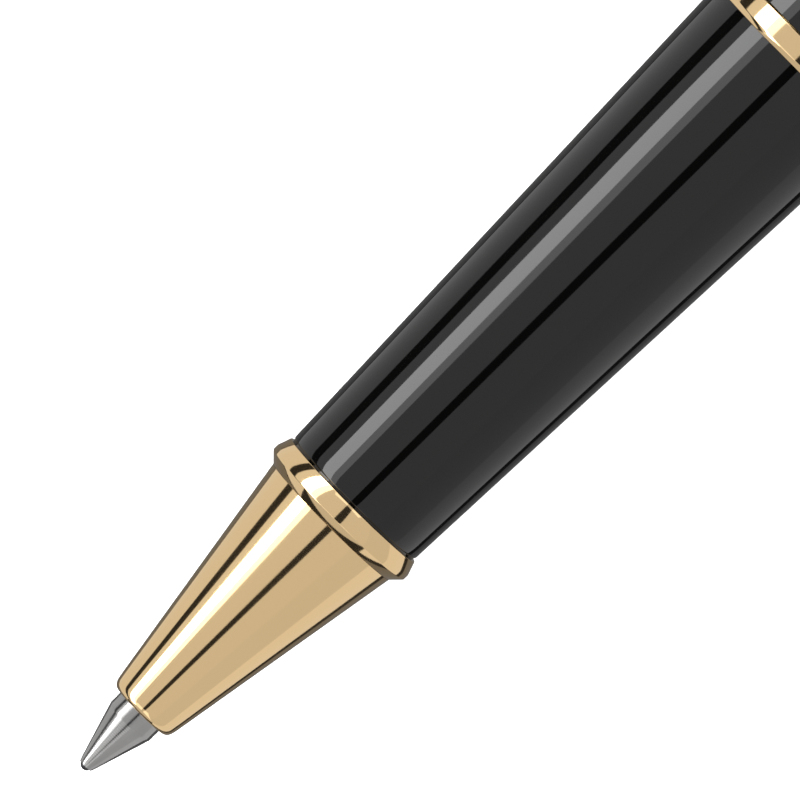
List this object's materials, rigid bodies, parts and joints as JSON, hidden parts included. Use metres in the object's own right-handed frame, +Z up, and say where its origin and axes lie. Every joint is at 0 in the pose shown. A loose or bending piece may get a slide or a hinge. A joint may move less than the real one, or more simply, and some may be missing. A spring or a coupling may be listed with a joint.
{
  "type": "rollerball pen",
  "caption": "Slim round rollerball pen with a metal nose cone, a smooth tapered grip, ringed joints, a screwed barrel on a sprung refill, and a pull-off cap with a clip posted on its tail.",
  "frame": {"origin": "the middle of the pen's length and width, on the table it lies on", "axes": "+X along the pen from the writing tip to the cap's finial, +Y across, +Z up; the clip points down and towards -Y, where its end touches the table"},
  "size_m": [0.1512, 0.0132, 0.0133],
  "materials": {
    "carbide": "polished tungsten carbide",
    "refill_steel": "turned and lightly polished",
    "fibre": "bonded fibre, soaked with ink",
    "refill_plastic": "plain moulded",
    "gold_plate": "polished pale gold plate over brass",
    "black_resin": "high-gloss polished resin",
    "brass": "turned, unplated",
    "spring_steel": "drawn wire",
    "inner_plastic": "moulded"
  },
  "bodies": {
    "front": {"nose_cone": "gold_plate", "front_ring": "gold_plate", "grip_section": "black_resin", "grip_liner": "brass", "thread_connector": "brass", "centre_ring": "gold_plate"},
    "refill": {"tip_socket": "refill_steel", "refill_nose": "refill_steel", "feed_rod": "fibre", "refill_tube": "refill_plastic", "ink_reservoir": "fibre", "refill_end_plug": "refill_plastic"},
    "ball": {"writing_ball": "carbide"},
    "spring_seat": {"spring_seat": "inner_plastic", "refill_spring": "spring_steel"},
    "barrel": {"barrel_shell": "black_resin", "thread_bush": "brass", "tail_ring": "gold_plate", "tail_knob": "black_resin", "tail_stud": "brass"},
    "cap": {"cap_shell": "black_resin", "cap_liner": "inner_plastic", "cap_lip_band": "gold_plate", "cap_snap_ring": "spring_steel", "cap_thin_ring": "gold_plate", "clip_collar": "gold_plate", "cap_finial": "black_resin", "finial_stud": "brass", "finial_disc": "gold_plate"},
    "clip": {"clip_arm": "gold_plate"}
  },
  "joints": [
    {"name": "refill_push", "type": "slide", "parent": "front", "child": "refill", "axis": [1, 0, 0], "range_m": [0, 0.0015], "stiffness_N_per_m": 500, "springref_m": -0.002, "deforming": ["refill_spring"]},
    {"name": "ball_roll", "type": "hinge", "parent": "refill", "child": "ball", "pos_m": [-0.07527, 0, 0.00665], "axis": [0, 1, 0], "continuous": true},
    {"name": "barrel_travel", "type": "slide", "parent": "front", "child": "spring_seat", "axis": [1, 0, 0], "range_m": [0, 0.005], "deforming": ["refill_spring"]},
    {"name": "barrel_turn", "type": "hinge", "parent": "spring_seat", "child": "barrel", "pos_m": [0, 0, 0.00665], "axis": [1, 0, 0], "range_deg": [0, 1800]},
    {"name": "cap_pull", "type": "slide", "parent": "barrel", "child": "cap", "axis": [1, 0, 0], "range_m": [0, 0.04]},
    {"name": "clip_flex", "type": "hinge", "parent": "cap", "child": "clip", "pos_m": [0.06763, -0.00446, 0.00212], "axis": [0, -0.7124, 0.7017], "range_deg": [0, 5], "stiffness_Nm_per_rad": 1.2, "springref_deg": -1.72}
  ],
  "couplings": [
    {"joint": "barrel_travel", "follows": "barrel_turn", "m_per_rad": 0.00015915}
  ]
}
